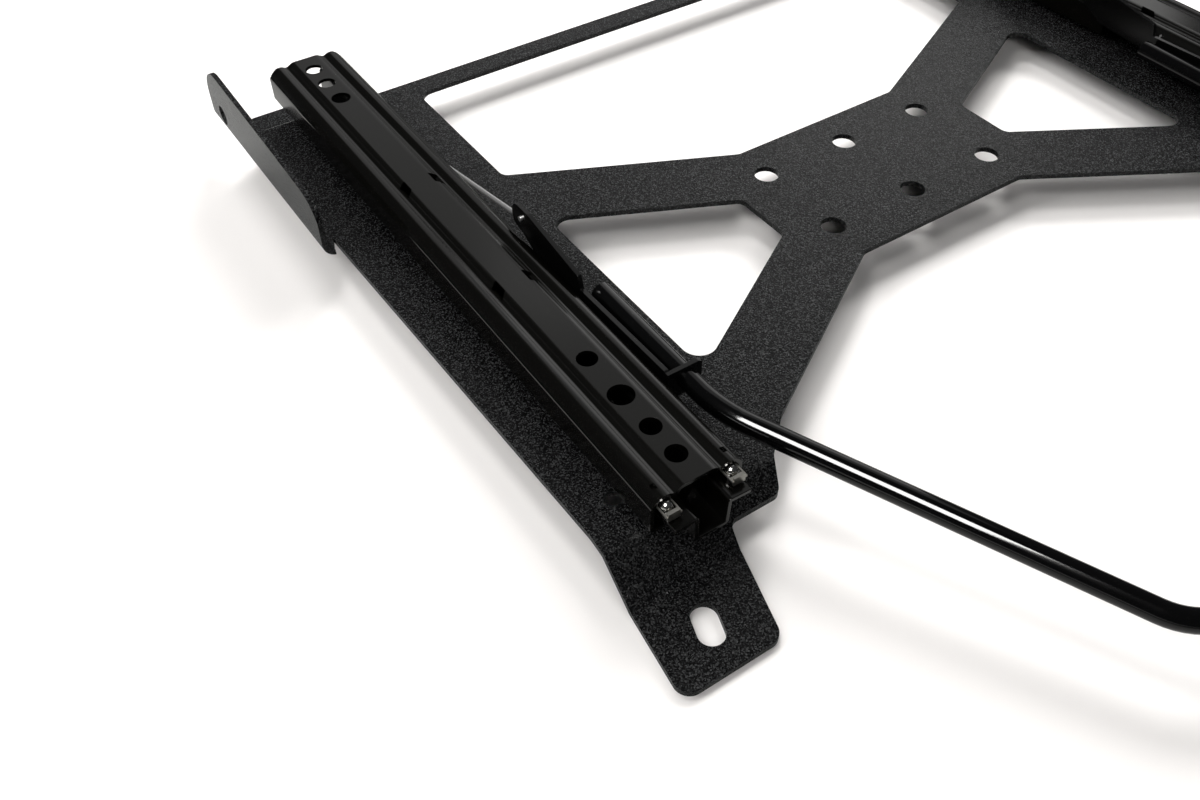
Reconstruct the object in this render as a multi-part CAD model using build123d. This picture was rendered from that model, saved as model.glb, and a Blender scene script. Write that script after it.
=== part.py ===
"""Sliding seat mount: a folded floor plate, two ball-bearing seat sliders and one release bar.

Millimetres, +Z up, floor at Z = 0. X runs across the seat with the left slider at -X,
and +Y points to the rear. The part is symmetric about the plane X = 0.
"""
import os

from build123d import *

os.makedirs("parts", exist_ok=True)

# Floor plate: sheet, levels and fold lines
PLATE_T = 2.5
PLATE_TOP = 14.5
PLATE_UNDER = PLATE_TOP - PLATE_T
FOOT_TOP = PLATE_T
PLATE_BEND_R = 3.0
FRONT_END_Y = -159.0
FRONT_LOWER_BEND_Y = -122.5
FRONT_UPPER_BEND_Y = -103.0
REAR_UPPER_BEND_Y = 213.0
REAR_LOWER_BEND_Y = 232.0
REAR_END_Y = 246.1

# Floor plate: outline of the strips, hub, arms, crossbar and feet
STRIP_INNER_X = 156.3
STRIP_OUTER_REAR_X = 244.8
STRIP_OUTER_FRONT_X = 239.8
STRIP_STEP_Y = 112.0
HUB_HALF_X = 72.3
HUB_FRONT_Y = -30.6
HUB_REAR_Y = 59.8
HUB_CORNER_FRONT_X = 50.3
HUB_CORNER_REAR_X = 50.5
CROSSBAR_FRONT_Y = 199.0
CROSSBAR_REAR_Y = 211.7
ARM_CORNER_R = 6.0
EAR_Y = -113.0
EAR_OUTER_X = 191.5
REAR_FOOT_X = (191.0, 237.0)

# Floor plate: holes
HUB_PITCH_X = 50.0
HUB_ROWS_Y = (-9.1, 39.1)
HUB_HOLE_R = 6.0
FOOT_SLOT_CENTRE = (-222.2, -140.6)
FOOT_SLOT_L = 17.5
FOOT_SLOT_W = 10.3
FOOT_SLOT_TILT = 18.0
REAR_FOOT_HOLE = (-209.0, 239.0)
REAR_FOOT_HOLE_R = 4.35
DRAIN_HOLE = (-223.7, -84.6)
DRAIN_HOLE_R = 3.5

# Upturned side flange
FLANGE_X = 253.0
FLANGE_BEND_R = 4.5
FLANGE_STRIP_W = 16.0
FLANGE_RELIEF_X = 5.5
FLANGE_FRONT_Y = 103.4
FLANGE_REAR_Y = 239.0
FLANGE_REAR_Z = 46.9
FLANGE_MIDDLE = (150.0, 43.2)
FLANGE_FRONT_Z = 40.4
FLANGE_REAR_R = 18.5
FLANGE_HOLE = (222.3, 24.0)
FLANGE_HOLE_R = 4.9

# Sliders: place, travel and rail sections
SLIDER_X = 203.2
SLIDE_TRAVEL = 150.0
UPPER_FRONT_Y = -107.0
UPPER_REAR_Y = 230.5
UPPER_T = 1.6
UPPER_TOP = 35.5
UPPER_RIDGE_Z = 34.8
UPPER_GROOVE_Z = 33.8
UPPER_HALF_W = 20.0
UPPER_BOTTOM_Z = 17.0
UPPER_LIP_X = 13.6
PLATEAU_HALF_W = 8.25
LOWER_FRONT_Y = -116.9
LOWER_REAR_Y = 230.0
LOWER_T = 1.8
LOWER_HALF_W = 7.5
LOWER_FLANGE_X = 16.5
LOWER_KNEE_Z = 26.2
LOWER_TIP_Z = 25.6

# Upper rail: seat holes, and the (Y, radius) of the access holes above the rail fasteners
SEAT_HOLES_Y = (-94.1, -78.6, -36.7, 202.0, 217.8)
SEAT_HOLE_R = 4.35
ACCESS_HOLES = ((-59.7, 5.4), (185.3, 4.75))
RIDGE_SLOT = (15.2, -101.5)
RIDGE_SLOT_X = 2.0
RIDGE_SLOT_Y = 2.6

# Upper rail: lanced tabs at the edges of the raised band
LANCE_Y = (17.0, 99.6)
LANCE_L = 11.0
LANCE_INNER_X = 5.9
LANCE_OUTER_X = 9.4
TAB_T = 1.4
TAB_DROP = 5.2

# Ball cages
BALL_X = 14.2
BALL_Z = 30.35
CAGE_T = 0.8
CAGE_HALF_W = 3.25
CAGE_WINDOW = 5.3
CAGE_WINDOWS_Y = (-108.0, -88.0, 125.0, 145.0)
CAGE_FRONT_Y = -113.0
CAGE_REAR_Y = 150.0

# Release lever, its pivot and the lock
LEVER_X = 181.9
LEVER_T = 2.0
FORK_X = 165.5
FORK_Y = (-60.0, -58.0)
FORK_Z = (19.3, 33.5)
PIVOT_Y = -30.0
PIVOT_Z = 24.0
PIVOT_R = 2.5
PIVOT_HEAD_R = 4.2
PIVOT_HEAD_T = 1.4
LOBE_HOLE = (47.3, 39.7)
COMB_Z = 23.7
COMB_T = 1.5
COMB_PITCH = 10.0
COMB_TEETH = 3
COMB_FRONT_Y = 2.0
COMB_REAR_Y = 30.0
COMB_SPINE_X = 17.2
TOOTH_W = 4.6
TOOTH_TIP_X = 12.9
NOTCH_W = 5.4
NOTCH_DEPTH = 4.0

# Release bar: outer size, open ends and centre line
BAR_R = 4.5
BAR_WALL = 1.5
BAR_MOUTH = 30.0
BAR_END = (-172.7, 0.0, 28.1)
BAR_KNEE = (-172.7, -81.1, 27.1)
BAR_CORNER = (-98.0, -241.6, 19.9)
BAR_KNEE_R = 62.0
BAR_CORNER_R = 25.0

# Return spring
WIRE_R = 1.2
WIRE_HOOK = (125.0, 23.3)
WIRE_HOLE_R = 1.5
WIRE_REACH = 57.0
WIRE_REACH_Z = 33.9


def outline_face(corners, radii):
    """Face inside a closed outline, with one corner radius for each point."""
    return make_face(FilletPolyline(*corners, radius=radii, close=True))


def shifted(path, distance):
    """Points of a path moved sideways by a distance, to the right of its direction."""
    normals = []
    for start, end in zip(path, path[1:]):
        along = Vector(end[0] - start[0], end[1] - start[1]).normalized()
        normals.append(Vector(along.Y, -along.X))
    moved = [Vector(*path[0]) + normals[0] * distance]
    for point, before, after in zip(path[1:-1], normals, normals[1:]):
        middle = (before + after).normalized()
        moved.append(Vector(*point) + middle * (distance / middle.dot(before)))
    moved.append(Vector(*path[-1]) + normals[-1] * distance)
    return [(point.X, point.Y) for point in moved]


def sheet_section(path, thickness, inside_radii):
    """Section of a folded sheet whose second skin lies to the right of the path."""
    first_radii = []
    second_radii = []
    for before, corner, after, radius in zip(path, path[1:], path[2:], inside_radii):
        turn = (corner[0] - before[0]) * (after[1] - corner[1])
        turn -= (corner[1] - before[1]) * (after[0] - corner[0])
        first_radii.append(radius if turn > 0 else radius + thickness)
        second_radii.append(radius + thickness if turn > 0 else radius)
    other = shifted(path, thickness)
    skins = [
        FilletPolyline(*path, radius=first_radii),
        FilletPolyline(*other, radius=second_radii),
        Line(path[0], other[0]),
        Line(path[-1], other[-1]),
    ]
    return make_face([edge for skin in skins for edge in skin.edges()])


def along_y(section, front, rear):
    """Section drawn in X and Z, drawn out along Y between two stations."""
    placed = Plane.XZ.offset(-front) * section
    return extrude(placed, amount=rear - front, dir=(0, 1, 0))


def across_x(face, low, high):
    """Face drawn in Y and Z, drawn out along X between two stations."""
    return extrude(Plane.YZ.offset(low) * face, amount=high - low)


def block(low, high):
    """Box between two opposite corners."""
    size = [top - bottom for bottom, top in zip(low, high)]
    return Pos(*low) * Box(*size, align=Align.MIN)


def post(x, y, radius, low, high):
    """Upright round bar, for holes and shanks."""
    return Pos(x, y, low) * Cylinder(radius, high - low, align=(Align.CENTER, Align.CENTER, Align.MIN))


def cross_pin(y, z, radius, low, high):
    """Round bar along X between two stations."""
    return extrude(Plane.YZ.offset(low) * Pos(y, z) * Circle(radius), amount=high - low)


def plate_outline():
    """Plan of the floor plate: outer edge with the arms, strips and feet, less its openings."""
    flange_fold_x = FLANGE_X - 5
    foot_inner, foot_outer = REAR_FOOT_X
    half = [
        (-HUB_CORNER_FRONT_X, HUB_FRONT_Y, 6), (-145.9, -86.8, 12), (-162.2, -101.5, 12),
        (-168.0, EAR_Y, 4), (-EAR_OUTER_X, EAR_Y, 4), (-193.7, -123.6, 6), (-204.0, FRONT_END_Y, 6),
        (-246.3, FRONT_END_Y, 6), (-241.7, -122.9, 20), (-STRIP_OUTER_FRONT_X, -93.8, 20),
        (-STRIP_OUTER_REAR_X, STRIP_STEP_Y, 0), (-flange_fold_x, STRIP_STEP_Y, 0),
        (-flange_fold_x, REAR_UPPER_BEND_Y, 0), (-foot_outer, REAR_UPPER_BEND_Y, 0),
        (-foot_outer, REAR_END_Y, 5), (-foot_inner, REAR_END_Y, 5), (-foot_inner, CROSSBAR_REAR_Y, 4),
    ]
    ring = [(x, y) for x, y, r in half] + [(-x, y) for x, y, r in reversed(half)]
    radii = [r for x, y, r in half]
    outer = outline_face(ring, radii + radii[::-1])
    rear_half = [
        (-HUB_CORNER_REAR_X, HUB_REAR_Y), (-STRIP_INNER_X, 110.3), (-STRIP_INNER_X, CROSSBAR_FRONT_Y),
    ]
    rear_window = rear_half + [(-x, y) for x, y in reversed(rear_half)]
    outer -= outline_face(rear_window, (ARM_CORNER_R, 5, 8, 8, 5, ARM_CORNER_R))
    side_window = [
        (-STRIP_INNER_X, 70.1), (-HUB_HALF_X, 30.0), (-HUB_HALF_X, -0.6), (-STRIP_INNER_X, -50.4),
    ]
    window = outline_face(side_window, (7, 5, 5, 8))
    return outer - window - mirror(window, about=Plane.YZ)


def plate_holes():
    """Cutters for every hole in the flat plate and its feet."""
    top = PLATE_TOP + 1
    cutters = []
    for row_y in HUB_ROWS_Y:
        for column in (-1, 0, 1):
            cutters.append(post(column * HUB_PITCH_X, row_y, HUB_HOLE_R, -1, top))
    slot = Pos(*FOOT_SLOT_CENTRE) * Rot(0, 0, 90 - FOOT_SLOT_TILT) * SlotOverall(FOOT_SLOT_L, FOOT_SLOT_W)
    left = [extrude(slot, amount=top)]
    left.append(post(*REAR_FOOT_HOLE, REAR_FOOT_HOLE_R, -1, top))
    left.append(post(*DRAIN_HOLE, DRAIN_HOLE_R, -1, top))
    return cutters + left + [mirror(cutter, about=Plane.YZ) for cutter in left]


def side_flange():
    """Left upturned flange with its fold, as one folded strip cut to the flange's outline."""
    strip_edge = -FLANGE_X + FLANGE_STRIP_W
    fold = [(strip_edge, PLATE_UNDER), (-FLANGE_X, PLATE_UNDER), (-FLANGE_X, FLANGE_REAR_Z + 2)]
    section = sheet_section(fold, PLATE_T, [FLANGE_BEND_R])
    strip = along_y(section, FLANGE_FRONT_Y, FLANGE_REAR_Y)
    outline = [
        (FLANGE_FRONT_Y, PLATE_UNDER), (FLANGE_REAR_Y, PLATE_UNDER), (FLANGE_REAR_Y, FLANGE_REAR_Z),
        FLANGE_MIDDLE, (FLANGE_FRONT_Y, FLANGE_FRONT_Z),
    ]
    shape = outline_face(outline, (0, 4, FLANGE_REAR_R, 60, 9))
    flange = strip & across_x(shape, -FLANGE_X - 1, strip_edge)
    free_end = block((-FLANGE_X + PLATE_T, REAR_UPPER_BEND_Y, 0), (-200, FLANGE_REAR_Y + 1, FLANGE_REAR_Z))
    relief = [
        (-FLANGE_X + FLANGE_RELIEF_X, FLANGE_FRONT_Y - 1), (-FLANGE_X + FLANGE_RELIEF_X, FLANGE_FRONT_Y + 1),
        (-STRIP_OUTER_REAR_X, STRIP_STEP_Y), (strip_edge + 1, STRIP_STEP_Y),
        (strip_edge + 1, FLANGE_FRONT_Y - 1),
    ]
    relief_face = Pos(0, 0, PLATE_UNDER - 1) * make_face(Polyline(*relief, close=True))
    corner = extrude(relief_face, amount=PLATE_T + 2)
    hole = cross_pin(*FLANGE_HOLE, FLANGE_HOLE_R, -FLANGE_X - 1, strip_edge)
    return flange - free_end - corner - hole


def base_plate():
    """Folded floor plate: joggled feet at both ends and an upturned flange on each side."""
    fold_line = [
        (FRONT_END_Y - 1, FOOT_TOP), (FRONT_LOWER_BEND_Y, FOOT_TOP), (FRONT_UPPER_BEND_Y, PLATE_TOP),
        (REAR_UPPER_BEND_Y, PLATE_TOP), (REAR_LOWER_BEND_Y, FOOT_TOP), (REAR_END_Y + 1, FOOT_TOP),
    ]
    section = sheet_section(fold_line, PLATE_T, [PLATE_BEND_R] * 4)
    folded = across_x(section, -FLANGE_X, FLANGE_X)
    plate = folded & extrude(Pos(0, 0, -1) * plate_outline(), amount=PLATE_TOP + 2)
    flange = side_flange()
    plate = plate + flange + mirror(flange, about=Plane.YZ)
    return plate - plate_holes()


def lower_rail():
    """Rolled lower rail: channel with drooping outward flanges, one of them notched for the lock."""
    half = [
        (-LOWER_HALF_W, PLATE_TOP), (-LOWER_HALF_W - 0.6, LOWER_KNEE_Z), (-LOWER_FLANGE_X, LOWER_TIP_Z),
    ]
    path = [(-x, z) for x, z in reversed(half)] + half
    rail = along_y(sheet_section(path, LOWER_T, [0, 0, 0, 0]), LOWER_FRONT_Y, LOWER_REAR_Y)
    count = COMB_TEETH + int(SLIDE_TRAVEL / COMB_PITCH)
    for index in range(count):
        middle = COMB_FRONT_Y + 4 + index * COMB_PITCH
        rail -= block((LOWER_FLANGE_X - NOTCH_DEPTH, middle - NOTCH_W / 2, LOWER_TIP_Z - 2),
                      (LOWER_FLANGE_X + 1, middle + NOTCH_W / 2, LOWER_KNEE_Z + 4))
    return Pos(-SLIDER_X, 0, 0) * rail


def upper_section():
    """Section of the upper rail: raised band, two grooves, rounded ridges and turned-in lips."""
    half = [(0, UPPER_TOP), (-PLATEAU_HALF_W, UPPER_TOP), (-9.5, UPPER_GROOVE_Z), (-10.3, UPPER_GROOVE_Z),
            (-11.6, UPPER_RIDGE_Z), (-UPPER_HALF_W, UPPER_RIDGE_Z), (-UPPER_HALF_W, UPPER_BOTTOM_Z),
            (-UPPER_LIP_X, UPPER_BOTTOM_Z)]
    path = [(x, z) for x, z in reversed(half[1:])] + [(-x, z) for x, z in half[1:]]
    radii = [1.4, 3.4, 0, 0, 0, 0]
    return sheet_section(path, UPPER_T, radii + radii[::-1])


def lance(rail, side, middle):
    """Cut one lance at the edge of the raised band and hang its tab down inside the rail."""
    front = middle - LANCE_L / 2
    rear = middle + LANCE_L / 2
    inner = side * LANCE_INNER_X
    outer = side * LANCE_OUTER_X
    corners = [(outer, front), (inner, front + 3.5), (inner, rear), (outer, rear - 2)]
    low = UPPER_GROOVE_Z - UPPER_T - 1
    opening = extrude(Pos(0, 0, low) * make_face(Polyline(*corners, close=True)), amount=6)
    tab_low = (min(outer, outer - side * TAB_T), front + 2, UPPER_GROOVE_Z - TAB_DROP)
    tab_high = (max(outer, outer - side * TAB_T), rear - 3, UPPER_GROOVE_Z)
    return rail - opening + block(tab_low, tab_high)


def upper_rail():
    """Rolled upper rail with its seat holes, access holes, lanced tabs and lock window."""
    rail = along_y(upper_section(), UPPER_FRONT_Y, UPPER_REAR_Y)
    low = UPPER_GROOVE_Z - UPPER_T - 1
    top = UPPER_TOP + 1
    for hole_y in SEAT_HOLES_Y:
        rail -= post(0, hole_y, SEAT_HOLE_R, low, top)
    for hole_y, radius in ACCESS_HOLES:
        rail -= post(0, hole_y, radius, low, top)
    wall = UPPER_HALF_W - UPPER_T
    rail -= block((UPPER_LIP_X - 1, COMB_FRONT_Y - 3, UPPER_BOTTOM_Z - 1),
                  (UPPER_HALF_W + 1, COMB_REAR_Y + 3, COMB_Z + COMB_T + 1))
    rail -= cross_pin(PIVOT_Y, PIVOT_Z, PIVOT_R + 0.05, wall - 1, UPPER_HALF_W + 1)
    rail -= cross_pin(*WIRE_HOOK, WIRE_HOLE_R, wall - 1, UPPER_HALF_W + 1)
    for side in (-1, 1):
        x, y = RIDGE_SLOT
        rail -= Pos(side * x, y, UPPER_TOP) * Box(RIDGE_SLOT_X, RIDGE_SLOT_Y, UPPER_TOP - low)
        for lance_y in LANCE_Y:
            rail = lance(rail, side, lance_y)
    return Pos(-SLIDER_X, 0, 0) * rail


def ball_cage(x):
    """Stamped ball retainer: a strip with four windows and closed ends."""
    low = BALL_Z - CAGE_T / 2
    cage = block((x - CAGE_HALF_W, CAGE_FRONT_Y, low), (x + CAGE_HALF_W, CAGE_REAR_Y, low + CAGE_T))
    for window_y in CAGE_WINDOWS_Y:
        cage -= Pos(x, window_y, low) * Box(CAGE_WINDOW, CAGE_WINDOW, 4 * CAGE_T)
    for end_y in (CAGE_FRONT_Y, CAGE_REAR_Y - CAGE_T):
        cage += block((x - CAGE_HALF_W + 0.5, end_y, BALL_Z - 2.0),
                      (x + CAGE_HALF_W - 0.8, end_y + CAGE_T, BALL_Z + 1.8))
    return Pos(-SLIDER_X, 0, 0) * cage


def release_lever():
    """Folded release lever: upright web with a spring lobe, a pivot ear and a fork for the bar."""
    web = [
        (55.0, 34.2, 4), (55.0, 44.8, 5), (42.0, 44.8, 3), (2.8, 38.4, 1), (1.0, 32.5, 1),
        (-60.0, 33.9, 3), (-60.0, 19.3, 0), (-37.0, 19.3, 0), (-35.0, 17.0, 0), (-25.0, 17.0, 0),
        (-23.0, 21.7, 0), (34.0, 25.8, 4), (46.0, 32.3, 4),
    ]
    shape = outline_face([(y, z) for y, z, r in web], [r for y, z, r in web])
    lever = across_x(shape, -LEVER_X, -LEVER_X + LEVER_T)
    low, high = FORK_Z
    fork = outline_face([(-LEVER_X, low), (-FORK_X, low), (-FORK_X, high), (-LEVER_X, high)], (0, 2, 2, 0))
    lever += along_y(fork, *FORK_Y)
    fork_y = sum(FORK_Y) / 2
    lever -= Pos(BAR_END[0], fork_y, bar_height(fork_y)) * Rot(90, 0, 0) * Cylinder(BAR_R + 0.05, 6)
    lever -= cross_pin(*LOBE_HOLE, WIRE_R + 0.25, -LEVER_X - 1, -LEVER_X + LEVER_T + 1)
    return lever - cross_pin(PIVOT_Y, PIVOT_Z, PIVOT_R + 0.05, -LEVER_X - 1, -LEVER_X + LEVER_T + 1)


def bar_height(y):
    """Height of the bar's centre line on its straight run beside the slider."""
    share = (BAR_END[1] - y) / (BAR_END[1] - BAR_KNEE[1])
    return BAR_END[2] + share * (BAR_KNEE[2] - BAR_END[2])


def lock_comb():
    """Toothed lock plate, welded along the lever's outboard face and standing just under the flange."""
    back = -LEVER_X + SLIDER_X
    comb = block((COMB_SPINE_X, COMB_FRONT_Y, COMB_Z), (back, COMB_REAR_Y, COMB_Z + COMB_T))
    for index in range(COMB_TEETH):
        middle = COMB_FRONT_Y + 4 + index * COMB_PITCH
        comb += block((TOOTH_TIP_X, middle - TOOTH_W / 2, COMB_Z),
                      (COMB_SPINE_X, middle + TOOTH_W / 2, COMB_Z + COMB_T))
    return Pos(-SLIDER_X, 0, 0) * comb


def pivot_pin():
    """Headed rivet through the slider wall and the lever."""
    wall = -SLIDER_X + UPPER_HALF_W - UPPER_T
    head = -LEVER_X + LEVER_T + 0.1
    pin = cross_pin(PIVOT_Y, PIVOT_Z, PIVOT_R, wall - 1, head)
    return pin + cross_pin(PIVOT_Y, PIVOT_Z, PIVOT_HEAD_R, head, head + PIVOT_HEAD_T)


def return_spring():
    """Wire spring: hooked in the slider wall at the rear and through the lever's lobe in front."""
    inner = -LEVER_X + LEVER_T + WIRE_R + 0.1
    hook_start = -SLIDER_X + UPPER_HALF_W - UPPER_T - 1.5
    route = [
        (hook_start, *WIRE_HOOK), (-LEVER_X + 0.8, *WIRE_HOOK), (inner, WIRE_REACH, WIRE_REACH_Z),
        (inner, *LOBE_HOLE), (-LEVER_X - 0.9, *LOBE_HOLE),
    ]
    path = Polyline(*route)
    start = Plane(origin=path @ 0, z_dir=path % 0)
    return sweep(start * Circle(WIRE_R), path=path, transition=Transition.RIGHT)


def towel_bar():
    """Release bar: one tube bent four times, from one lever to the other across the front."""
    left = [BAR_END, BAR_KNEE, BAR_CORNER]
    right = [(-x, y, z) for x, y, z in reversed(left)]
    path = FilletPolyline(*left, *right, radius=(BAR_KNEE_R, BAR_CORNER_R, BAR_CORNER_R, BAR_KNEE_R))
    bar = sweep(Plane(origin=path @ 0, z_dir=path % 0) * Circle(BAR_R), path=path)
    for share in (0, 1):
        inwards = (path % share) * (1 if share == 0 else -1)
        bore = Plane(origin=path @ share, z_dir=inwards) * Circle(BAR_R - BAR_WALL)
        bar -= extrude(bore, amount=BAR_MOUTH)
    return bar


def save(name, shape):
    """Write one node's STEP file."""
    shape.label = name
    export_step(shape, "parts/" + name + ".step")


def main():
    save("base_plate", base_plate())
    save("towel_bar", towel_bar())
    left_pieces = {
        "lower_rail": lower_rail(),
        "upper_rail": upper_rail(),
        "outer_ball_cage": ball_cage(-BALL_X),
        "inner_ball_cage": ball_cage(BALL_X),
        "release_lever": release_lever(),
        "lock_comb": lock_comb(),
        "pivot_pin": pivot_pin(),
        "return_spring": return_spring(),
    }
    for name, shape in left_pieces.items():
        save("left_" + name, shape)
        save("right_" + name, mirror(shape, about=Plane.YZ))


main()
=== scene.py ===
import math

import bmesh
import bpy
from mathutils import Matrix, Vector


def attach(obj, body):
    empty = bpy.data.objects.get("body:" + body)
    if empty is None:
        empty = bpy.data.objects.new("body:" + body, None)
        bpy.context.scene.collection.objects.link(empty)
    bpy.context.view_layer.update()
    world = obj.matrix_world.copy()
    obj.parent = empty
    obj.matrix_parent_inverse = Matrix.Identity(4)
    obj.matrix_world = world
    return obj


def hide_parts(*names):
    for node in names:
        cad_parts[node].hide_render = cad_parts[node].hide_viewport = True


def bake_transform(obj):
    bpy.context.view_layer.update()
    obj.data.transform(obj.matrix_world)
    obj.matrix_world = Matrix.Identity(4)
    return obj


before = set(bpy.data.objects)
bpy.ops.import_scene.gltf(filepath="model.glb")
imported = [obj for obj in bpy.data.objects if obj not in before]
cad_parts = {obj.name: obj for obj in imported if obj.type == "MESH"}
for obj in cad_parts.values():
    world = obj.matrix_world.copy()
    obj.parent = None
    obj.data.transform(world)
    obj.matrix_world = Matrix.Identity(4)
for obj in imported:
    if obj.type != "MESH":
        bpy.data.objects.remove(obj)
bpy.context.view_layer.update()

scene = bpy.context.scene
millimetre = 0.001
print("frame loaded")

cameraLook = {
    "place": (-0.36795, -0.2974, 0.3386),
    "right": (0.83228094, -0.55429606, -0.00801956),
    "down": (-0.40740145, -0.6017786, -0.68694),
    "forward": (0.37594213, 0.57499426, -0.72666988),
    "lens": 33.97,
    "sensor": 36.0,
    "nearest": 0.01,
}
# floor lights shape the shadows: compass angle from +X towards +Y, height angle, power in watts
floorLightLook = {
    "softboxes": (
        ("rearSide", 60.0, 32.0, 28.9),
        ("rightRear", 30.0, 32.0, 22.9),
        ("rearTop", 90.0, 55.0, 14.8),
        ("frontLeft", 240.0, 32.0, 9.1),
        ("leftRearSide", 150.0, 32.0, 9.3),
        ("leftRear", 120.0, 32.0, 6.3),
        ("leftTop", 180.0, 55.0, 5.9),
        ("leftRearTop", 135.0, 55.0, 2.1),
    ),
    "aim": (0.0, 0.0, 0.0),
    "distance": 2.0,
    "size": (0.6, 0.6),
    "colour": (1.0, 0.99, 0.975),
}
# gloss lights show in the paint only: compass, height, width and height in metres, radiance
glossLightLook = {
    "softboxes": (
        ("keySoftbox", 195.0, 61.0, 0.82, 1.15, 26.0),
        ("fillWall", 38.0, 18.0, 0.85, 1.38, 1.0),
        ("fillSide", 66.0, 22.0, 0.85, 1.45, 0.38),
        ("fillTop", 45.0, 47.0, 1.26, 0.65, 0.38),
    ),
    "aim": (-0.15, -0.08, 0.03),
    "distance": 2.0,
    "colour": (1.0, 0.995, 0.98),
}
worldLook = {"colour": (0.95, 0.97, 1.0), "glossPower": 0.05, "floorPower": 0.02, "backdropPower": 1.2}
# near, far and left: painted shade in the reflections, where the evenly white table is drawn darker: near
# close by, far further off and left beside the plate's left edge; near fades into far between fadeStart and
# fadeEnd, and left takes over within leftFade of leftEdge
floorLook = {
    "white": (0.96, 0.94, 0.93),
    "near": (0.52, 0.52, 0.51),
    "far": (0.08, 0.08, 0.08),
    "left": (0.5, 0.5, 0.495),
    "fadeStart": 0.028,
    "fadeEnd": 0.11,
    "leftEdge": -0.235,
    "leftFade": 0.015,
    "halfSize": 1.25,
}


def makeCamera(look):
    data = bpy.data.cameras.new("photoCamera")
    data.lens = look["lens"]
    data.sensor_width = look["sensor"]
    data.clip_start = look["nearest"]
    camera = bpy.data.objects.new("photoCamera", data)
    scene.collection.objects.link(camera)
    right = Vector(look["right"])
    up = -Vector(look["down"])
    back = -Vector(look["forward"])
    turn = Matrix((right, up, back)).transposed().to_4x4()
    camera.matrix_world = Matrix.Translation(look["place"]) @ turn
    scene.camera = camera


def makeSoftbox(name, compass, height, size, power, look):
    data = bpy.data.lights.new(name, "AREA")
    data.shape = "RECTANGLE"
    data.size, data.size_y = size
    data.energy = power
    data.color = look["colour"]
    lamp = bpy.data.objects.new(name, data)
    scene.collection.objects.link(lamp)
    around, above = math.radians(compass), math.radians(height)
    flat = math.cos(above)
    towards = Vector((math.cos(around) * flat, math.sin(around) * flat, math.sin(above)))
    place = Matrix.Translation(Vector(look["aim"]) + towards * look["distance"])
    lamp.matrix_world = place @ (-towards).to_track_quat("-Z", "Y").to_matrix().to_4x4()
    return lamp


def addNode(tree, kind, settings=None, values=None):
    node = tree.nodes.new(kind)
    for key, value in (settings or {}).items():
        setattr(node, key, value)
    for key, value in (values or {}).items():
        node.inputs[key].default_value = value
    return node


def makeWorld(look):
    world = bpy.data.worlds.new("studioWorld")
    scene.world = world
    world.use_nodes = True
    tree = world.node_tree
    background = tree.nodes["Background"]
    background.inputs["Color"].default_value = (*look["colour"], 1)
    rays = addNode(tree, "ShaderNodeLightPath")
    power = addNode(tree, "ShaderNodeMapRange", None,
                    {"To Min": look["glossPower"], "To Max": look["floorPower"]})
    tree.links.new(rays.outputs["Is Diffuse Ray"], power.inputs["Value"])
    backdrop = addNode(tree, "ShaderNodeMix", {"data_type": "FLOAT"}, {3: look["backdropPower"]})
    tree.links.new(rays.outputs["Is Camera Ray"], backdrop.inputs[0])
    tree.links.new(power.outputs[0], backdrop.inputs[2])
    tree.links.new(backdrop.outputs[0], background.inputs["Strength"])


def makeFloor(look):
    mesh = bpy.data.meshes.new("studioFloor")
    bm = bmesh.new()
    bmesh.ops.create_grid(bm, x_segments=1, y_segments=1, size=look["halfSize"])
    bm.to_mesh(mesh)
    bm.free()
    floor = bpy.data.objects.new("studioFloor", mesh)
    scene.collection.objects.link(floor)
    material = bpy.data.materials.new("studioWhite")
    material.use_nodes = True
    tree = material.node_tree
    shader = tree.nodes["Principled BSDF"]
    shader.inputs["Roughness"].default_value = 1.0
    shader.inputs["Specular IOR Level"].default_value = 0.0
    # painted shade in the reflections: glossy rays see the table darker with ray length and left of the plate,
    # while camera and diffuse rays see it white
    rays = addNode(tree, "ShaderNodeLightPath")
    fade = addNode(tree, "ShaderNodeMapRange", {"interpolation_type": "SMOOTHSTEP"},
                   {"From Min": look["fadeStart"], "From Max": look["fadeEnd"]})
    tree.links.new(rays.outputs["Ray Length"], fade.inputs["Value"])
    seen = addNode(tree, "ShaderNodeMix", {"data_type": "RGBA"},
                   {6: (*look["near"], 1), 7: (*look["far"], 1)})
    tree.links.new(fade.outputs[0], seen.inputs[0])
    place = addNode(tree, "ShaderNodeTexCoord")
    apart = addNode(tree, "ShaderNodeSeparateXYZ")
    tree.links.new(place.outputs["Object"], apart.inputs[0])
    beside = addNode(tree, "ShaderNodeMapRange", None,
                     {"From Min": look["leftEdge"], "From Max": look["leftEdge"] - look["leftFade"]})
    tree.links.new(apart.outputs["X"], beside.inputs["Value"])
    table = addNode(tree, "ShaderNodeMix", {"data_type": "RGBA"}, {7: (*look["left"], 1)})
    tree.links.new(beside.outputs[0], table.inputs[0])
    tree.links.new(seen.outputs[2], table.inputs[6])
    pick = addNode(tree, "ShaderNodeMix", {"data_type": "RGBA"}, {6: (*look["white"], 1)})
    tree.links.new(rays.outputs["Is Glossy Ray"], pick.inputs[0])
    tree.links.new(table.outputs[2], pick.inputs[7])
    tree.links.new(pick.outputs[2], shader.inputs["Base Color"])
    mesh.materials.append(material)


def lightStudio():
    for name, compass, height, power in floorLightLook["softboxes"]:
        lamp = makeSoftbox(name, compass, height, floorLightLook["size"], power, floorLightLook)
        lamp.visible_glossy = False
    for name, compass, height, wide, tall, radiance in glossLightLook["softboxes"]:
        power = radiance * math.pi * wide * tall
        lamp = makeSoftbox(name, compass, height, (wide, tall), power, glossLightLook)
        lamp.visible_diffuse = False


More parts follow.
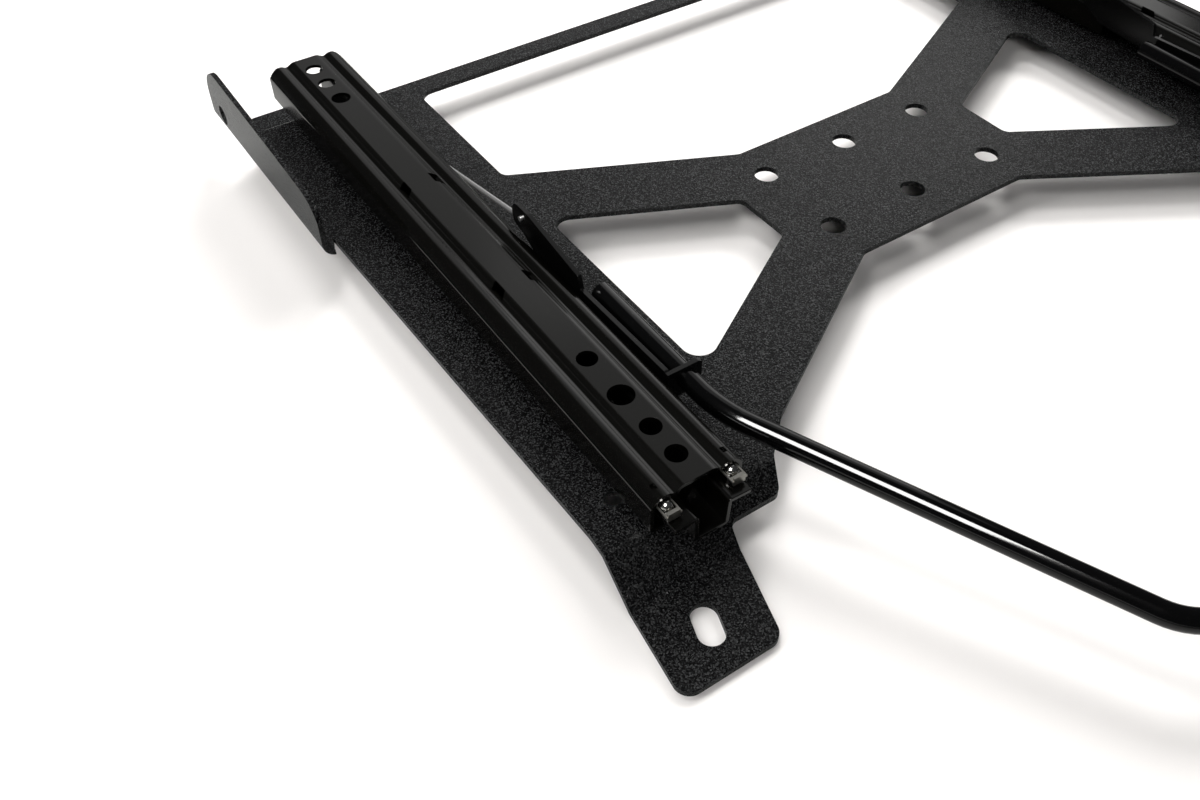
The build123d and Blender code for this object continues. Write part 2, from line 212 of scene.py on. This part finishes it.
scene.view_settings.view_transform = "Standard"
scene.view_settings.look = "None"
scene.view_settings.exposure = 0.0
scene.view_settings.gamma = 1.0
makeWorld(worldLook)
makeCamera(cameraLook)
lightStudio()
makeFloor(floorLook)
print("studio ready")


def newGroup(name, inputs, outputs):
    group = bpy.data.node_groups.new(name, "ShaderNodeTree")
    for label, kind, value in inputs:
        socket = group.interface.new_socket(name=label, in_out="INPUT", socket_type=kind)
        if value is not None:
            socket.default_value = value
    for label, kind in outputs:
        group.interface.new_socket(name=label, in_out="OUTPUT", socket_type=kind)
    return group, group.nodes.new("NodeGroupInput"), group.nodes.new("NodeGroupOutput")


# crumbShare: how much of the height comes from the crumbs; contrast: how rare the light crumbs are, which are
# partly the coat's grain and partly painted glints
grainLook = {"lumpDetail": 1.0, "lumpRoughness": 0.4, "crumbShare": 0.2, "contrast": 3.0, "cloudScale": 60.0,
             "cloudDetail": 3.0}


def makeGrainGroup(look):
    group, entry, outlet = newGroup(
        "sandGrain",
        (("Grain Size", "NodeSocketFloat", 0.0009), ("Fine Size", "NodeSocketFloat", 0.0005)),
        (("Height", "NodeSocketFloat"), ("GrainAndGlint", "NodeSocketFloat"), ("Cloud", "NodeSocketFloat")))
    links = group.links
    place = addNode(group, "ShaderNodeTexCoord")
    coarse = addNode(group, "ShaderNodeMath", {"operation": "DIVIDE"}, {0: 1.0})
    links.new(entry.outputs["Grain Size"], coarse.inputs[1])
    fine = addNode(group, "ShaderNodeMath", {"operation": "DIVIDE"}, {0: 1.0})
    links.new(entry.outputs["Fine Size"], fine.inputs[1])
    lumps = addNode(group, "ShaderNodeTexNoise", None,
                    {"Detail": look["lumpDetail"], "Roughness": look["lumpRoughness"]})
    links.new(place.outputs["Object"], lumps.inputs["Vector"])
    links.new(coarse.outputs[0], lumps.inputs["Scale"])
    crumbs = addNode(group, "ShaderNodeTexVoronoi", {"feature": "F1"})
    links.new(place.outputs["Object"], crumbs.inputs["Vector"])
    links.new(fine.outputs[0], crumbs.inputs["Scale"])
    height = addNode(group, "ShaderNodeMix", {"data_type": "FLOAT"}, {0: look["crumbShare"]})
    links.new(lumps.outputs["Fac"], height.inputs[2])
    links.new(crumbs.outputs["Distance"], height.inputs[3])
    links.new(height.outputs[0], outlet.inputs["Height"])
    # the crumbs' colour raised to a power marks the light crumbs: partly the coat's grain, partly painted
    # glints
    parts = addNode(group, "ShaderNodeSeparateColor")
    links.new(crumbs.outputs["Color"], parts.inputs[0])
    grainAndGlint = addNode(group, "ShaderNodeMath", {"operation": "POWER"}, {1: look["contrast"]})
    links.new(parts.outputs[0], grainAndGlint.inputs[0])
    links.new(grainAndGlint.outputs[0], outlet.inputs["GrainAndGlint"])
    cloud = addNode(group, "ShaderNodeTexNoise", None,
                    {"Scale": look["cloudScale"], "Detail": look["cloudDetail"]})
    links.new(place.outputs["Object"], cloud.inputs["Vector"])
    links.new(cloud.outputs["Fac"], outlet.inputs["Cloud"])
    return group


# streaks are drawn out along the rail; motes are the thin dust on the paint
rolledLook = {"stretch": (1.0, 0.06, 1.0), "streakDetail": 4.0, "streakRoughness": 0.6, "peelScale": 700.0,
              "peelDetail": 2.0, "dustScale": 1500.0, "dustDetail": 1.0, "moteStart": 0.70, "moteEnd": 0.78}


def makeSmoothGroup(look):
    group, entry, outlet = newGroup(
        "rolledSurface",
        (("Scale", "NodeSocketFloat", 90.0),),
        (("Streak", "NodeSocketFloat"), ("Height", "NodeSocketFloat"), ("Dust", "NodeSocketFloat")))
    links = group.links
    place = addNode(group, "ShaderNodeTexCoord")
    stretch = addNode(group, "ShaderNodeMapping", None, {"Scale": look["stretch"]})
    links.new(place.outputs["Object"], stretch.inputs["Vector"])
    streak = addNode(group, "ShaderNodeTexNoise", None,
                     {"Detail": look["streakDetail"], "Roughness": look["streakRoughness"]})
    links.new(stretch.outputs[0], streak.inputs["Vector"])
    links.new(entry.outputs["Scale"], streak.inputs["Scale"])
    links.new(streak.outputs["Fac"], outlet.inputs["Streak"])
    peel = addNode(group, "ShaderNodeTexNoise", None,
                   {"Scale": look["peelScale"], "Detail": look["peelDetail"]})
    links.new(place.outputs["Object"], peel.inputs["Vector"])
    links.new(peel.outputs["Fac"], outlet.inputs["Height"])
    dust = addNode(group, "ShaderNodeTexNoise", None,
                   {"Scale": look["dustScale"], "Detail": look["dustDetail"]})
    links.new(place.outputs["Object"], dust.inputs["Vector"])
    motes = addNode(group, "ShaderNodeMapRange", None,
                    {"From Min": look["moteStart"], "From Max": look["moteEnd"]})
    links.new(dust.outputs["Fac"], motes.inputs["Value"])
    links.new(motes.outputs[0], outlet.inputs["Dust"])
    return group


grainGroup = makeGrainGroup(grainLook)
smoothGroup = makeSmoothGroup(rolledLook)


def newMaterial(name):
    material = bpy.data.materials.new(name)
    material.use_nodes = True
    return material, material.node_tree, material.node_tree.nodes["Principled BSDF"]


def ramped(tree, source, low, high, target):
    span = addNode(tree, "ShaderNodeMapRange", None, {"To Min": low, "To Max": high})
    tree.links.new(source, span.inputs["Value"])
    tree.links.new(span.outputs[0], target)


def mixedColour(tree, factor, low, high, target):
    mix = addNode(tree, "ShaderNodeMix", {"data_type": "RGBA"}, {6: (*low, 1), 7: (*high, 1)})
    tree.links.new(factor, mix.inputs[0])
    tree.links.new(mix.outputs[2], target)


def bumped(tree, height, strength, distance, shader):
    bump = addNode(tree, "ShaderNodeBump", None, {"Strength": strength, "Distance": distance})
    tree.links.new(height, bump.inputs["Height"])
    tree.links.new(bump.outputs[0], shader.inputs["Normal"])


# sizes and depths in metres; the light crumb colour is partly the coat's grain and partly painted glints
plateLook = {"dark": (0.0012, 0.0013, 0.0014), "crumbAndGlint": (0.046, 0.047, 0.048), "roughLow": 0.16,
             "roughHigh": 0.22, "specular": 0.19, "grainSize": 0.0009, "fineSize": 0.0005, "bump": 1.0,
             "bumpDepth": 0.00035}


def makePlateCoat(look):
    material, tree, shader = newMaterial("plateCoat")
    grain = addNode(tree, "ShaderNodeGroup")
    grain.node_tree = grainGroup
    grain.inputs["Grain Size"].default_value = look["grainSize"]
    grain.inputs["Fine Size"].default_value = look["fineSize"]
    # the light crumbs in the base colour are partly the coat's grain and partly painted glints
    mixedColour(tree, grain.outputs["GrainAndGlint"], look["dark"], look["crumbAndGlint"], shader.inputs["Base Color"])
    ramped(tree, grain.outputs["Cloud"], look["roughLow"], look["roughHigh"], shader.inputs["Roughness"])
    bumped(tree, grain.outputs["Height"], look["bump"], look["bumpDepth"], shader)
    shader.inputs["Specular IOR Level"].default_value = look["specular"]
    return material


def makePaint(name, look):
    material, tree, shader = newMaterial(name)
    surface = addNode(tree, "ShaderNodeGroup")
    surface.node_tree = smoothGroup
    surface.inputs["Scale"].default_value = look["streakScale"]
    mixedColour(tree, surface.outputs["Dust"], look["colour"], look["dust"], shader.inputs["Base Color"])
    ramped(tree, surface.outputs["Streak"], look["roughLow"], look["roughHigh"], shader.inputs["Roughness"])
    bumped(tree, surface.outputs["Height"], look["bump"], look["bumpDepth"], shader)
    shader.inputs["Specular IOR Level"].default_value = look["specular"]
    shader.inputs["Metallic"].default_value = look["metal"]
    return material


# what every smooth finish has unless its own values say otherwise
paintLook = {"specular": 0.5, "metal": 0.0, "streakScale": 300.0, "bump": 0.05, "bumpDepth": 0.0001}
railLook = paintLook | {"colour": (0.0011, 0.0010, 0.0006), "dust": (0.0030, 0.0029, 0.0016), "roughLow": 0.13,
                        "roughHigh": 0.22, "streakScale": 90.0}
barLook = paintLook | {"colour": (0.0011, 0.0011, 0.0012), "dust": (0.01, 0.01, 0.01), "roughLow": 0.06,
                       "roughHigh": 0.12, "streakScale": 60.0, "bump": 0.03}
leverLook = paintLook | {"colour": (0.0012, 0.0012, 0.0012), "dust": (0.004, 0.004, 0.004), "roughLow": 0.16,
                         "roughHigh": 0.28, "streakScale": 80.0}
oxideLook = paintLook | {"colour": (0.02, 0.02, 0.02), "dust": (0.06, 0.06, 0.06), "roughLow": 0.3,
                         "roughHigh": 0.45, "metal": 0.5, "streakScale": 200.0}
zincLook = paintLook | {"colour": (0.40, 0.39, 0.36), "dust": (0.20, 0.19, 0.17), "roughLow": 0.22,
                        "roughHigh": 0.42, "metal": 1.0, "bump": 0.1}
wireLook = paintLook | {"colour": (0.93, 0.93, 0.92), "dust": (0.8, 0.8, 0.79), "roughLow": 0.34,
                        "roughHigh": 0.42, "metal": 1.0}
steelLook = paintLook | {"colour": (0.55, 0.54, 0.52), "dust": (0.6, 0.6, 0.6), "roughLow": 0.12,
                         "roughHigh": 0.2, "metal": 1.0, "bump": 0.02}
finishes = {"plateCoat": makePlateCoat(plateLook)}
for finish, look in (("railPaint", railLook), ("barGloss", barLook), ("leverPaint", leverLook),
                     ("boltOxide", oxideLook), ("zincBright", zincLook), ("wireBright", wireLook),
                     ("ballSteel", steelLook)):
    finishes[finish] = makePaint(finish, look)
print("materials ready")


# faces that meet at more than this angle, in degrees, keep a sharp edge in the shading
plainSmooth = 35.0


def finishPiece(bm, name, body, finish, nodes=(), smoothAngle=plainSmooth):
    mesh = bpy.data.meshes.new(name)
    bmesh.ops.recalc_face_normals(bm, faces=bm.faces)
    bm.to_mesh(mesh)
    bm.free()
    mesh.shade_smooth()
    mesh.set_sharp_from_angle(angle=math.radians(smoothAngle))
    mesh.materials.append(finishes[finish])
    piece = bpy.data.objects.new(name, mesh)
    scene.collection.objects.link(piece)
    even = piece.modifiers.new("evenNormals", "WEIGHTED_NORMAL")
    even.keep_sharp = True
    if body:
        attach(piece, body)
    if nodes:
        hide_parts(*nodes)
    return piece


# points closer than weldDistance are one; faces that turn less than flatAngle, in degrees, are one;
# roundProfile: the section of a rounded edge is a quarter circle
weldDistance = 1e-6
flatAngle = 0.5
roundProfile = 0.5


def cleanCopy(nodeName):
    bm = bmesh.new()
    bm.from_mesh(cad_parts[nodeName].data)
    bmesh.ops.remove_doubles(bm, verts=bm.verts, dist=weldDistance)
    bmesh.ops.dissolve_limit(bm, angle_limit=math.radians(flatAngle), verts=bm.verts, edges=bm.edges)
    return bm


def roundEdges(bm, look):
    width, segments, sharpAngle = look
    limit = math.radians(sharpAngle)
    edges = [edge for edge in bm.edges if len(edge.link_faces) == 2 and edge.calc_face_angle() > limit]
    bmesh.ops.bevel(bm, geom=edges, offset=width, offset_type="OFFSET", segments=segments,
                    profile=roundProfile, affect="EDGES", clamp_overlap=True, material=-1)


def roundedNode(nodeName, pieceName, body, finish, look):
    bm = cleanCopy(nodeName)
    roundEdges(bm, look)
    return finishPiece(bm, pieceName, body, finish, (nodeName,))


# how wide each piece's edges are rounded, in how many steps, and from which angle in degrees on
edgeLook = {
    "plate": (0.0007, 3, 40.0),
    "bar": (0.0002, 2, 40.0),
    "upperRail": (0.0003, 2, 42.0),
    "lowerRail": (0.0003, 2, 30.0),
    "lever": (0.0003, 2, 30.0),
    "comb": (0.0002, 1, 30.0),
    "pin": (0.0004, 3, 30.0),
    "cage": (0.00012, 1, 30.0),
}
# low: how low the flange's free rear end hangs, along the slider; top: how its front corner rounds off.
# It leaves its bend between leaveStart and leaveEnd; the turns, in degrees round the bend, say which part
# drops and which is tucked under. A point counts as on the bend within arcError of its radius.
skirtLook = {"outer": 0.2530, "bendX": 0.2485, "bendZ": 0.0165, "bendRadius": 0.0045, "leaveStart": 0.158,
             "leaveEnd": 0.183, "dropTurn": 62.0, "tuckTurn": 66.0, "tuckSpan": 24.0, "tuckDepth": 0.0024,
             "arcError": 0.0002, "bendError": 0.00005, "faceStart": 0.0015,
             "low": ((0.158, 0.0120), (0.168, 0.0118), (0.175, 0.0100), (0.183, 0.0086), (0.197, 0.0079),
                     (0.207, 0.0086), (0.216, 0.0097), (0.226, 0.0108), (0.2365, 0.0124), (0.2400, 0.0128)),
             "top": ((0.0960, 0.0225), (0.0980, 0.0244), (0.1020, 0.0285), (0.1045, 0.0336), (0.1070, 0.0368),
                     (0.1100, 0.0389), (0.1140, 0.0405), (0.1190, 0.0418), (0.1250, 0.0428), (0.1320, 0.0435))}


def valueAt(table, reach):
    for (x0, y0), (x1, y1) in zip(table, table[1:]):
        if reach <= x1:
            return y0 + (y1 - y0) * (reach - x0) / (x1 - x0)
    return table[-1][1]


def lowerFlange(bm, look):
    for y, _ in look["top"] + look["low"][:-1]:
        faces = [face for face in bm.faces
                 if min(abs(vert.co.x) for vert in face.verts) > look["bendX"] - look["arcError"]]
        near = {edge for face in faces for edge in face.edges}
        near |= {vert for face in faces for vert in face.verts}
        bmesh.ops.bisect_plane(bm, geom=faces + list(near), dist=weldDistance, plane_co=(0, y, 0),
                               plane_no=(0, 1, 0))
    for vert in bm.verts:
        if abs(vert.co.x) > look["bendX"] + look["faceStart"] and vert.co.y < look["top"][-1][0]:
            vert.co.z = min(vert.co.z, valueAt(look["top"], vert.co.y))
        out = abs(vert.co.x) - look["bendX"]
        down = look["bendZ"] - vert.co.z
        offArc = abs(math.hypot(out, down) - look["bendRadius"]) > look["arcError"]
        if offArc or min(out, down) < look["bendError"] or vert.co.y < look["leaveStart"]:
            continue
        turn = math.degrees(math.atan2(down, out))
        low = valueAt(look["low"], vert.co.y)
        share = min(1.0, turn / look["dropTurn"])
        x = look["outer"] - look["tuckDepth"] * max(0.0, (turn - look["tuckTurn"]) / look["tuckSpan"])
        z = look["bendZ"] - (look["bendZ"] - low) * share
        away = min(1.0, (vert.co.y - look["leaveStart"]) / (look["leaveEnd"] - look["leaveStart"]))
        side = math.copysign(1.0, vert.co.x)
        vert.co.x += away * (side * x - vert.co.x)
        vert.co.z += away * (z - vert.co.z)


bm = cleanCopy("base_plate")
lowerFlange(bm, skirtLook)
roundEdges(bm, edgeLook["plate"])
finishPiece(bm, "floorPlate", "base", "plateCoat", ("base_plate",))
roundedNode("towel_bar", "liftBar", "handle", "barGloss", edgeLook["bar"])

# across the slider, in millimetres: distance from its middle and height of the sheet, as drawn and as rolled.
# Only what stands above lowest is moved, and fully so from fadeHeight above it.
crownLook = {
    "sliderX": 0.2032,
    "drawn": ((0.0, 35.5), (8.25, 35.5), (9.5, 33.8), (10.3, 33.8), (11.6, 34.8), (16.6, 34.8), (17.6, 34.65),
              (18.6, 34.15), (19.4, 33.3), (20.0, 31.4)),
    "rolled": ((0.0, 35.5), (5.6, 35.5), (6.4, 35.44), (7.2, 35.26), (8.0, 34.95), (8.8, 34.50), (9.5, 34.05),
               (10.0, 33.86), (10.5, 33.86), (11.0, 34.02), (11.7, 34.38), (12.5, 34.70), (13.3, 34.90),
               (14.1, 34.97), (15.0, 34.92), (15.9, 34.74), (16.8, 34.43), (17.7, 33.98), (18.5, 33.38),
               (19.2, 32.62), (19.7, 31.9), (20.0, 31.2)),
    "lowest": 0.0296,
    "fadeHeight": 0.0015,
    "smoothAngle": 38.0,
}


def crownedRail(nodeName, pieceName, body, sign, look):
    bm = cleanCopy(nodeName)
    middle = sign * look["sliderX"]
    for reach, _ in look["rolled"][1:-1]:
        for side in (-1, 1):
            cut = (middle + side * reach * millimetre, 0, 0)
            bmesh.ops.bisect_plane(bm, geom=bm.verts[:] + bm.edges[:] + bm.faces[:], dist=weldDistance,
                                   plane_co=cut, plane_no=(1, 0, 0))
    for vert in bm.verts:
        reach = abs(vert.co.x - middle) / millimetre
        if vert.co.z > look["lowest"]:
            share = min(1.0, (vert.co.z - look["lowest"]) / look["fadeHeight"])
            vert.co.z += share * (valueAt(look["rolled"], reach) - valueAt(look["drawn"], reach)) * millimetre
    roundEdges(bm, edgeLook["upperRail"])
    return finishPiece(bm, pieceName, body, "railPaint", (nodeName,), look["smoothAngle"])


for side, sign in (("left", -1), ("right", 1)):
    slider = side + "_slider"
    crownedRail(side + "_upper_rail", side + "UpperRail", slider, sign, crownLook)
    roundedNode(side + "_lower_rail", side + "LowerRail", "base", "railPaint",
                edgeLook["lowerRail"])
    roundedNode(side + "_release_lever", side + "Lever", "handle", "leverPaint",
                edgeLook["lever"])
    roundedNode(side + "_lock_comb", side + "Comb", "handle", "leverPaint", edgeLook["comb"])
    roundedNode(side + "_pivot_pin", side + "PivotPin", slider, "zincBright", edgeLook["pin"])
    for row in ("outer", "inner"):
        roundedNode(side + "_" + row + "_ball_cage", side + row.capitalize() + "Cage", side + "_bearings",
                    "zincBright", edgeLook["cage"])
print("plate, rails, bar and levers rounded")

ballLook = {"radius": 0.0025, "sliderX": 0.2032, "offsetX": 0.0142, "z": 0.03035,
            "rows": (-0.108, -0.088, 0.125, 0.145), "segments": 36, "rings": 20, "smoothAngle": 60.0}
for side, sign in (("left", -1), ("right", 1)):
    for row, offset in (("Outer", 1), ("Inner", -1)):
        bm = bmesh.new()
        x = sign * (ballLook["sliderX"] + offset * ballLook["offsetX"])
        for y in ballLook["rows"]:
            place = Matrix.Translation((x, y, ballLook["z"]))
            bmesh.ops.create_uvsphere(bm, u_segments=ballLook["segments"], v_segments=ballLook["rings"],
                                      radius=ballLook["radius"], matrix=place)
        finishPiece(bm, side + row + "Balls", side + "_bearings", "ballSteel",
                    smoothAngle=ballLook["smoothAngle"])
print("bearing balls placed")

# the wire is straight between its hook in the slider and the lever's lobe
springLook = {"radius": 0.0012, "roundness": 6, "order": 3, "smoothness": 8, "smoothAngle": 50.0,
              "route": ((-0.1863, 0.125, 0.0233), (-0.1835, 0.125, 0.0233), (-0.1811, 0.1247, 0.0235),
                        (-0.1810, 0.120, 0.0242), (-0.1788, 0.062, 0.0332), (-0.1786, 0.057, 0.0341),
                        (-0.1786, 0.0505, 0.0385), (-0.1787, 0.0475, 0.0396), (-0.1800, 0.0473, 0.0397),
                        (-0.1828, 0.0473, 0.0397))}


def makeSpring(side, sign, look):
    curve = bpy.data.curves.new(side + "SpringLine", "CURVE")
    curve.dimensions = "3D"
    curve.bevel_depth = look["radius"]
    curve.bevel_resolution = look["roundness"]
    curve.use_fill_caps = True
    line = curve.splines.new("NURBS")
    line.points.add(len(look["route"]) - 1)
    for point, (x, y, z) in zip(line.points, look["route"]):
        point.co = (sign * x, y, z, 1.0)
    line.order_u = look["order"]
    line.use_endpoint_u = True
    line.resolution_u = look["smoothness"]
    holder = bpy.data.objects.new(side + "SpringLine", curve)
    mesh = bpy.data.meshes.new_from_object(holder)
    bpy.data.objects.remove(holder)
    bm = bmesh.new()
    bm.from_mesh(mesh)
    bmesh.ops.remove_doubles(bm, verts=bm.verts, dist=weldDistance)
    bpy.data.meshes.remove(mesh)
    spring = finishPiece(bm, side + "Spring", None, "wireBright", (side + "_return_spring",),
                         look["smoothAngle"])
    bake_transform(spring)


for side, sign in (("left", 1), ("right", -1)):
    makeSpring(side, sign, springLook)
print("springs bent")

# heights above the floor, radii and depths of one button-head bolt with its washer and nut;
# headCurve: share of the head's radius and height above the seat
boltLook = {"x": 0.2032, "rows": (-0.0597, 0.1853), "seat": 0.0163, "headRadius": 0.0047, "headHeight": 0.0030,
            "headCurve": ((0.97, 0.0015), (0.88, 0.0022), (0.74, 0.0027)), "headWall": (0.0002, 0.0009),
            "rimWidth": 0.0003, "rimDrop": 0.00005, "socket": 0.0024, "socketLip": 0.0004,
            "socketDepth": 0.0018, "socketPoint": 0.0006,
            "shank": 0.0030, "shankTip": 0.0010, "shankChamfer": 0.0004, "under": 0.0120,
            "washerRadius": 0.0060, "washerHeight": 0.0012, "washerEdge": 0.0002, "nutAcross": 0.0100,
            "nutHeight": 0.0050, "nutEdge": 0.0004, "nutEdgeSteps": 2, "steps": 36, "shankSteps": 24,
            "smoothAngle": 40.0}


def spinProfile(bm, profile, steps):
    verts = [bm.verts.new((radius, 0, z)) for radius, z in profile]
    edges = [bm.edges.new(pair) for pair in zip(verts, verts[1:])]
    bmesh.ops.spin(bm, geom=verts + edges, axis=(0, 0, 1), cent=(0, 0, 0), angle=2 * math.pi, steps=steps,
                   use_merge=True)
    bmesh.ops.remove_doubles(bm, verts=bm.verts, dist=weldDistance)


def makeBolt(look):
    bm = bmesh.new()
    seat, radius, shank = look["seat"], look["headRadius"], look["shank"]
    top = seat + look["headHeight"]
    washer, edge = look["washerRadius"], look["washerEdge"]
    nutTop = look["under"] - look["washerHeight"]
    nutLow = nutTop - look["nutHeight"]
    tip = nutLow - look["shankTip"]
    socket, lip = look["socket"], look["socketLip"]
    floor = top - look["socketDepth"]
    head = [(0.0, seat), (radius - edge / 2, seat)]
    head += [(radius, seat + rise) for rise in look["headWall"]]
    head += [(radius * share, seat + rise) for share, rise in look["headCurve"]]
    head += [(socket + lip + look["rimWidth"], top - look["rimDrop"]), (socket + lip, top),
             (socket, top - lip), (socket, floor), (0.0, floor - look["socketPoint"])]
    spinProfile(bm, head, look["steps"])
    spinProfile(bm, ((shank, seat), (shank, tip + look["shankChamfer"]), (shank - look["shankChamfer"], tip),
                     (0.0, tip)), look["shankSteps"])
    spinProfile(bm, ((shank, look["under"]), (washer - edge, look["under"]), (washer, look["under"] - edge),
                     (washer, nutTop + edge / 2), (washer - edge / 2, nutTop), (shank, nutTop)), look["steps"])
    nut = bmesh.ops.create_circle(bm, cap_ends=True, segments=6, radius=look["nutAcross"] / math.sqrt(3),
                                  matrix=Matrix.Translation((0, 0, nutLow)))
    caps = list({face for vert in nut["verts"] for face in vert.link_faces})
    grown = bmesh.ops.extrude_face_region(bm, geom=caps)
    lifted = [item for item in grown["geom"] if isinstance(item, bmesh.types.BMVert)]
    bmesh.ops.translate(bm, vec=(0, 0, look["nutHeight"]), verts=lifted)
    corners = set(nut["verts"] + lifted)
    bmesh.ops.bevel(bm, geom=[line for line in bm.edges if set(line.verts) <= corners], offset=look["nutEdge"],
                    offset_type="OFFSET", segments=look["nutEdgeSteps"], profile=roundProfile, affect="EDGES",
                    material=-1)
    return bm


def makeBolts(side, sign, look):
    whole = bmesh.new()
    for y in look["rows"]:
        bm = makeBolt(look)
        bmesh.ops.translate(bm, vec=(sign * look["x"], y, 0), verts=bm.verts)
        part = bpy.data.meshes.new("boltPart")
        bm.to_mesh(part)
        bm.free()
        whole.from_mesh(part)
        bpy.data.meshes.remove(part)
    finishPiece(whole, side + "RailBolts", "base", "boltOxide", smoothAngle=look["smoothAngle"])


for side, sign in (("left", -1), ("right", 1)):
    makeBolts(side, sign, boltLook)
print("rail fasteners placed")
